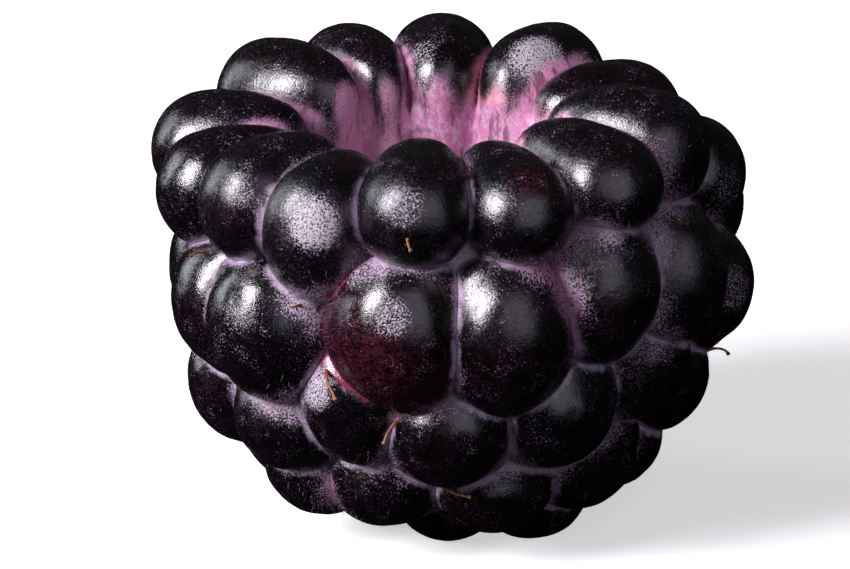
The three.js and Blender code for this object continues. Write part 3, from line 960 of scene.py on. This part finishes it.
def skin_material(colours):
    """Glossy near-black skin with bloom in its creases and pink felt in the hollow."""
    n = Finish("ripe_skin")
    where = n.place()
    crease, hollow, felt = n.mask("crease"), n.mask("hollow"), n.mask("felt")
    bloom, pink, wax, matt = n.mask("bloom"), n.mask("pink"), n.mask("wax"), n.mask("matt")

    broad = n.noise(where, 0.9, 3.0)
    patchy = n.noise(where, 2.2, 3.0, 0.6)
    grain = n.noise(where, 18.0, 2.0, 0.7)
    speckle = n.noise(where, 19.0, 2.0, 0.8)
    ragged = n.plus(crease, n.times(n.plus(patchy, -0.5), 0.35))
    line = n.ramp(ragged, 0.25, 0.06)
    mottle = n.noise(where, 8.0, 3.0, 0.75)
    skin = ripe_skin(n, colours, speckle, mottle, broad)

    # Bloom: a broken line in each crease, a speckled halo round it, and gathered spots. It never
    # covers the skin wholly.
    halo_reach = n.ramp(broad, 0.40, 0.66, 0.20, 0.95)
    halo = n.times(n.math("SUBTRACT", 1.0, n.math("DIVIDE", crease, halo_reach), True), 0.8)
    red_free = n.ramp(n.mask("redness"), 0.6, 0.1, 0.15, 1.0)
    sprinkle = n.times(n.ramp(n.noise(where, 1.5, 2.0), 0.42, 0.70), 0.41)
    spread = n.times(n.most(n.most(halo, bloom), n.times(felt, 0.55)), red_free)
    spread = n.most(spread, sprinkle)
    level = n.plus(n.times(n.most(spread, wax), -0.32), 0.73)
    dust = n.ramp(n.math("SUBTRACT", speckle, level), -0.05, 0.13)
    dust = n.times(dust, n.ramp(n.most(spread, wax), 0.05, 0.65, 0.10, 1.0))
    broken = n.ramp(n.noise(where, 1.2, 2.0), 0.34, 0.54)
    crease_line = n.times(n.times(line, broken), red_free)
    crease_line = n.times(crease_line, n.ramp(speckle, 0.36, 0.50, 0.3, 1.0))
    cover = n.math("MAXIMUM", crease_line, dust, True)
    tint = n.math("MAXIMUM", n.times(pink, bloom), n.times(n.ramp(broad, 0.52, 0.64), 0.35), True)
    tint = n.times(tint, n.ramp(patchy, 0.35, 0.62, 0.4, 1.0))
    bloom_tint = n.mix(tint, colours.bloom, colours.felt)
    # The pale patches: painted highlights and painted light over thin wax.
    bloom_tint = n.mix(n.times(wax, n.ramp(crease, 0.0, 0.4)), bloom_tint, colours.wax)
    colour = n.mix(n.times(cover, 0.92), skin, bloom_tint)
    crimson = n.times(n.ramp(ragged, 0.21, 0.05), n.ramp(n.mask("redness"), 0.05, 0.35))
    crimson = n.times(crimson, n.ramp(speckle, 0.36, 0.56, 0.25, 1.0))
    colour = n.mix(crimson, colour, colours.crimson)
    ragged_edge = n.ramp(n.plus(hollow, n.times(n.plus(speckle, -0.5), 0.9)), 0.12, 0.88)
    hollow = n.times(ragged_edge, n.ramp(hollow, 0.02, 0.10))
    colour = n.mix(hollow, colour, hollow_wall(n, colours, speckle))

    # Stray dust on the skin.
    stray = n.times(n.flecks(where, 2.7, 0.05), n.ramp(n.noise(where, 0.6, 1.0), 0.48, 0.62))
    fine = n.times(n.flecks(where, 6.0, 0.14), n.ramp(patchy, 0.50, 0.60))
    stray = n.times(n.most(stray, n.times(fine, 0.85)), n.ramp(hollow, 0.5, 0.0))
    colour = n.mix(n.times(stray, 0.85), colour, STRAY_DUST)

    dull = n.most(n.most(n.times(cover, 0.8), hollow), n.most(stray, felt))
    gloss = n.plus(n.ramp(grain, 0.3, 0.7, 0.11, 0.20), n.times(matt, 0.09))
    gloss = n.plus(gloss, n.ramp(mottle, 0.46, 0.60, 0.0, 0.11))
    roughness = n.plus(gloss, n.times(dull, 0.42), True)
    relief = n.bump(grain, 0.013, n.plus(n.times(matt, 0.4), 0.55))
    relief = n.bump(n.noise(where, 2.6, 1.0), 0.022, 0.4, relief)
    relief = n.bump(mottle, 0.020, 0.45, relief)
    relief = n.bump(n.most(dust, n.times(hollow, speckle)), 0.012, 0.6, relief)
    return n.finish(Base_Color=colour, Roughness=roughness, Normal=relief, IOR=1.5,
                    Specular_IOR_Level=0.9)


def down_material():
    """Pale hairs, lilac here and pink there."""
    n = Finish("pale_down")
    tint = n.noise(n.place(), 1.1, 1.0)
    colour = n.mix(n.ramp(tint, 0.4, 0.6), DOWN_LILAC, DOWN_PINK)
    return n.finish(Base_Color=colour, Roughness=0.55, IOR=1.5)


def style_material(colours):
    """Dry orange-brown thread, with painted shade in its wrinkles, and paler towards its tip."""
    n = Finish("dry_style")
    wrinkle = n.noise(n.place(), 9.0, 3.0, 0.6)
    paleness = n.ramp(n.plus(n.mask("share"), n.times(wrinkle, 0.4)), 0.2, 0.95)
    colour = n.mix(paleness, colours.style_root, colours.style_tip)
    # Painted shade in the hollows of the wrinkles' bump.
    colour = n.mix(n.ramp(wrinkle, 0.5, 0.34), colour, STYLE_WRINKLE_PAINTED_SHADE)
    return n.finish(Base_Color=colour, Roughness=0.62, Normal=n.bump(wrinkle, 0.02, 0.8), IOR=1.5)


def floor_material(colours):
    """Pale floor that the camera sees glowing and the berry sees dimmed."""
    n = Finish("pale_floor")
    seen = n.add("ShaderNodeLightPath", output=0)
    colour = n.mix(seen, FLOOR_SEEN_BY_BERRY, colours.floor)
    glow = n.times(seen, FLOOR_GLOW)
    return n.finish(Base_Color=colour, Roughness=0.9, Specular_IOR_Level=0.0,
                    Emission_Color=(1.0, 1.0, 1.0), Emission_Strength=glow)


# ---- Geometry Nodes: down and styles -----------------------------------------------------------


class Growth(Nodes):
    """Builds one Geometry Nodes tree with named inputs and runs it on an object."""

    def __init__(self, name, **inputs):
        self.tree = bpy.data.node_groups.new(name, "GeometryNodeTree")
        self.tree.is_modifier = True
        add_socket = self.tree.interface.new_socket
        add_socket("Geometry", in_out="OUTPUT", socket_type="NodeSocketGeometry")
        self.sockets = {}
        for key, kind in {"Geometry": "Geometry", **inputs, "Material": "Material"}.items():
            label = key.replace("_", " ")
            socket = add_socket(label, in_out="INPUT", socket_type="NodeSocket" + kind)
            self.sockets[label] = socket.identifier
        self.group = self.tree.nodes.new("NodeGroupInput")

    def given(self, name):
        return self.group.outputs[name]

    def end(self, geometry):
        """Makes the geometry real, gives it the material and hands it out."""
        real = self.add("GeometryNodeRealizeInstances", {"Geometry": geometry})
        finished = self.add("GeometryNodeSetMaterial",
                            {"Geometry": real, "Material": self.given("Material")})
        out = self.tree.nodes.new("NodeGroupOutput")
        self.tree.links.new(finished, out.inputs[0])

    def run(self, source, name, values):
        """A plain mesh object of what the tree makes of the source with these input values."""
        modifier = source.modifiers.new("growth", "NODES")
        modifier.node_group = self.tree
        for key, value in values.items():
            modifier[self.sockets[key]] = value
        evaluated = source.evaluated_get(bpy.context.evaluated_depsgraph_get())
        mesh = bpy.data.meshes.new_from_object(evaluated)
        source.modifiers.remove(modifier)
        mesh.name = name
        return add_object(name, mesh)


def down_growth():
    """Short bent hairs, scattered where the mask `down` is high and leaning off the skin."""
    g = Growth("crease_down", Density="Float", Length="Float", Thickness="Float", Seed="Int")
    mask = g.add("GeometryNodeInputNamedAttribute", {"Name": "down"}, data_type="FLOAT")
    scatter = g.add(
        "GeometryNodeDistributePointsOnFaces",
        {"Mesh": g.given("Geometry"), "Density": g.times(mask, g.given("Density")),
         "Seed": g.given("Seed")})

    line = g.add(
        "GeometryNodeCurveQuadraticBezier",
        {"Resolution": 3, "Start": (0, 0, -0.1), "Middle": (0.05, 0, 0.55), "End": (0.42, 0, 1.0)})
    share = g.add("GeometryNodeSplineParameter")
    taper = g.add("ShaderNodeMapRange", {"Value": share, "To Min": 1.0, "To Max": 0.25})
    radius = g.times(taper, g.given("Thickness"))
    section = g.add("GeometryNodeCurvePrimitiveCircle", {"Resolution": 3, "Radius": 0.5})
    hair = g.add(
        "GeometryNodeCurveToMesh",
        {"Curve": line, "Profile Curve": section, "Fill Caps": True,
         "Scale": g.math("DIVIDE", radius, g.given("Length"))})

    upright = g.add("FunctionNodeAlignRotationToVector",
                    {"Vector": scatter.node.outputs["Normal"]}, axis="Z")
    turn = g.add("FunctionNodeRandomValue",
                 {"Min": (-0.9, -0.9, 0.0), "Max": (0.9, 0.9, 6.283)}, data_type="FLOAT_VECTOR")
    turned = g.add("FunctionNodeRotateRotation", {"Rotation": upright, "Rotate By": turn},
                   rotation_space="LOCAL")
    spread = g.add("FunctionNodeRandomValue", {2: 0.55, 3: 1.25, "Seed": 5}, output=1,
                   data_type="FLOAT")
    g.end(g.add("GeometryNodeInstanceOnPoints",
                {"Points": scatter, "Instance": hair, "Rotation": turned,
                 "Scale": g.times(spread, g.given("Length"))}))
    return g


def style_growth():
    """A thread along a curve: thick at its root, thin to its tip, with a knob at the end."""
    g = Growth("withered_style", Root_Radius="Float", Tip_Radius="Float", Kink="Float",
               Seed="Float")
    fine = g.add("GeometryNodeResampleCurve", {"Curve": g.given("Geometry"), "Count": 34})
    share = g.add("GeometryNodeSplineParameter")
    stored = g.add("GeometryNodeStoreNamedAttribute",
                   {"Geometry": fine, "Name": "share", "Value": share},
                   data_type="FLOAT", domain="POINT")
    wander = g.add("ShaderNodeTexNoise",
                   {"W": g.given("Seed"), "Scale": 2.4 / MM, "Detail": 2.0}, output=1,
                   noise_dimensions="4D")
    centred = g.add("ShaderNodeVectorMath", {0: wander, 1: (0.5, 0.5, 0.5)},
                    operation="SUBTRACT")
    moved = g.add("ShaderNodeVectorMath",
                  {0: centred, "Scale": g.times(share, g.given("Kink"))}, operation="SCALE")
    kinked = g.add("GeometryNodeSetPosition", {"Geometry": stored, "Offset": moved})
    slim = g.add("ShaderNodeMapRange",
                 {"Value": share, "From Max": 0.55, "To Min": g.given("Root Radius"),
                  "To Max": g.given("Tip Radius")}, interpolation_type="SMOOTHSTEP")
    knob = g.add("ShaderNodeMapRange",
                 {"Value": share, "From Min": 0.86, "From Max": 0.97, "To Min": 1.0,
                  "To Max": 1.7}, interpolation_type="SMOOTHSTEP")
    section = g.add("GeometryNodeCurvePrimitiveCircle", {"Resolution": 10, "Radius": 1.0})
    g.end(g.add("GeometryNodeCurveToMesh",
                {"Curve": kinked, "Profile Curve": section, "Fill Caps": True,
                 "Scale": g.times(slim, knob)}))
    return g


def style_route(one, clock, lean, heading, length, lift, curl, shape):
    """The three control points of a style's curve, in mm in the plan's place."""
    root_way = one.way(clock, lean)
    root = one.middle + root_way * one.reach(root_way[None], shape)[0]
    turn = math.radians(heading)
    along = one.upward * math.cos(turn) + one.across * math.sin(turn)
    along = along - root_way * (along @ root_way)
    along /= np.linalg.norm(along)
    aside = np.cross(root_way, along)
    rise = root_way * (math.sin(math.radians(lift)) * length)
    run = along * (math.cos(math.radians(lift)) * length)
    return (root - root_way * STYLE_ROOT_DEPTH, root + rise + run * STYLE_BEND,
            root + rise + run + aside * curl)


def curve_object(name, route):
    """A poly curve along a quadratic Bezier with these three control points, in metres."""
    start, bend, end = (np.asarray(p) * MM for p in route)
    curve = bpy.data.curves.new(name, "CURVE")
    curve.dimensions = "3D"
    spline = curve.splines.new("POLY")
    spline.points.add(STYLE_STEPS)
    for i, point in enumerate(spline.points):
        t = i / STYLE_STEPS
        point.co = (*((1 - t) ** 2 * start + 2 * t * (1 - t) * bend + t * t * end), 1.0)
    return add_object(name, curve)


# ---- Operators ---------------------------------------------------------------------------------


class BRAMBLE_OT_grow_berry(bpy.types.Operator):
    """Grow the joined drupelets and the hollow behind them as one closed skin"""

    bl_idname = "bramble.grow_berry"
    bl_label = "Grow Berry"

    def execute(self, context):
        scene = context.scene
        shape = scene.bramble_shape
        everyone = place_drupelets(shape)
        mesh = grow_skin(everyone, shape)
        soften_hollow(mesh, shape)
        write_masks(mesh, everyone, shape)
        scene["bramble_move"] = stand_in_frame(mesh)[:]
        mesh.name = "berry_skin"
        berry = add_object("berry_skin", mesh)
        mesh.shade_smooth()
        mesh.set_sharp_from_angle(angle=math.radians(SHARP_ANGLE))
        mesh.materials.clear()
        mesh.materials.append(skin_material(scene.bramble_colours))
        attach(berry, BODY)
        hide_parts(BERRY_NODE)
        return {"FINISHED"}


class BRAMBLE_OT_grow_down(bpy.types.Operator):
    """Grow the fine pale down in the creases and on the hollow's wall"""

    bl_idname = "bramble.grow_down"
    bl_label = "Grow Down"

    def execute(self, context):
        look = context.scene.bramble_down
        berry = context.scene.objects["berry_skin"]
        down = down_growth().run(berry, "crease_down", {
            "Density": look.crease_density / MM ** 2, "Length": look.length * MM,
            "Thickness": look.thickness * MM, "Seed": look.seed,
            "Material": down_material()})
        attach(down, BODY)
        return {"FINISHED"}


class BRAMBLE_OT_lay_styles(bpy.types.Operator):
    """Lay the withered styles on their drupelets"""

    bl_idname = "bramble.lay_styles"
    bl_label = "Lay Withered Styles"

    def execute(self, context):
        scene = context.scene
        look, shape = scene.bramble_styles, scene.bramble_shape
        drupelets = by_name(place_drupelets(shape))
        material = style_material(scene.bramble_colours)
        growth = style_growth()
        for i, (ring, index, *route) in enumerate(STYLES):
            line = curve_object("style_line", style_route(drupelets[ring, index], *route, shape))
            line.data.transform(Matrix.Translation(scene["bramble_move"]))
            thread = growth.run(line, f"style_thread_{i + 1:02d}", {
                "Root Radius": look.root_radius * MM, "Tip Radius": look.tip_radius * MM,
                "Kink": look.kink * MM, "Seed": float(i), "Material": material})
            bpy.data.objects.remove(line)
            thread.data.shade_smooth()
            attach(thread, BODY)
            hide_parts(f"withered_style_{i + 1:02d}")
        return {"FINISHED"}


def look_at(obj, target, azimuth, elevation, distance):
    """Stands a light or camera off the target in a direction, in radians, and turns it back."""
    way = Vector((math.sin(azimuth) * math.cos(elevation),
                  -math.cos(azimuth) * math.cos(elevation), math.sin(elevation)))
    obj.location = target + way * distance
    obj.rotation_euler = (-way).to_track_quat("-Z", "Y").to_euler()


def add_floor(material):
    """A square of floor in the plane that the berry stands on."""
    bm = bmesh.new()
    bmesh.ops.create_grid(bm, x_segments=1, y_segments=1, size=FLOOR_SIZE)
    mesh = bpy.data.meshes.new("pale_floor")
    bm.to_mesh(mesh)
    bm.free()
    mesh.materials.append(material)
    add_object("pale_floor", mesh)


def add_lights(stage, target):
    """The soft oblong lights."""
    for name, (azimuth, elevation, size, colour) in LIGHTS.items():
        light = bpy.data.lights.new(f"{name}_light", "AREA")
        light.shape, (light.size, light.size_y) = "RECTANGLE", size
        light.energy, light.color = getattr(stage, f"{name}_power"), colour
        look_at(add_object(light.name, light), target, math.radians(azimuth),
                math.radians(elevation), LIGHT_DISTANCE)


def add_sky(scene, strength):
    """Even white surroundings."""
    scene.world = bpy.data.worlds.new("surroundings")
    scene.world.use_nodes = True
    background = scene.world.node_tree.nodes["Background"]
    background.inputs["Color"].default_value = (1, 1, 1, 1)
    background.inputs["Strength"].default_value = strength


def add_camera(scene, stage):
    camera = bpy.data.cameras.new("camera")
    camera.lens, camera.sensor_width = stage.camera_lens, 36.0
    camera.clip_start, camera.clip_end = 0.01, 10.0
    scene.camera = add_object("camera", camera)
    aim = Vector(CAMERA_AIM) * MM + Vector(scene["bramble_move"])
    look_at(scene.camera, aim, 0.0, stage.camera_elevation, stage.camera_distance)


class BRAMBLE_OT_set_stage(bpy.types.Operator):
    """Set the pale floor, the soft lights, the surroundings and the camera"""

    bl_idname = "bramble.set_stage"
    bl_label = "Set Stage"

    def execute(self, context):
        scene = context.scene
        stage = scene.bramble_stage
        low, high = CAD_BOX
        add_floor(floor_material(scene.bramble_colours))
        add_lights(stage, (low + high) / 2)
        add_sky(scene, stage.sky)
        add_camera(scene, stage)
        scene.view_settings.view_transform = "Standard"
        return {"FINISHED"}


class BRAMBLE_PT_panel(bpy.types.Panel):
    """Lists the berry's steps and settings"""

    bl_idname = "BRAMBLE_PT_panel"
    bl_label = "Bramble Berry"
    bl_space_type = "VIEW_3D"
    bl_region_type = "UI"
    bl_category = "Bramble Berry"

    def draw(self, context):
        for operator in OPERATORS:
            self.layout.operator(operator.bl_idname)
        for name, kind in SETTINGS.items():
            box = self.layout.box()
            settings = getattr(context.scene, name)
            for key in kind.__annotations__:
                box.prop(settings, key)


SETTINGS = {
    "bramble_shape": BrambleShape, "bramble_colours": BrambleColours, "bramble_down": BrambleDown,
    "bramble_styles": BrambleStyles, "bramble_stage": BrambleStage,
}
OPERATORS = (
    BRAMBLE_OT_grow_berry, BRAMBLE_OT_grow_down, BRAMBLE_OT_lay_styles, BRAMBLE_OT_set_stage,
)


def register():
    for kind in (*SETTINGS.values(), *OPERATORS, BRAMBLE_PT_panel):
        bpy.utils.register_class(kind)
    for name, kind in SETTINGS.items():
        setattr(bpy.types.Scene, name, PointerProperty(type=kind))


def unregister():
    for name in SETTINGS:
        delattr(bpy.types.Scene, name)
    for kind in reversed((*SETTINGS.values(), *OPERATORS, BRAMBLE_PT_panel)):
        bpy.utils.unregister_class(kind)


def main():
    register()
    bpy.ops.bramble.grow_berry()
    bpy.ops.bramble.grow_down()
    bpy.ops.bramble.lay_styles()
    bpy.ops.bramble.set_stage()


if __name__ == "__main__":
    main()
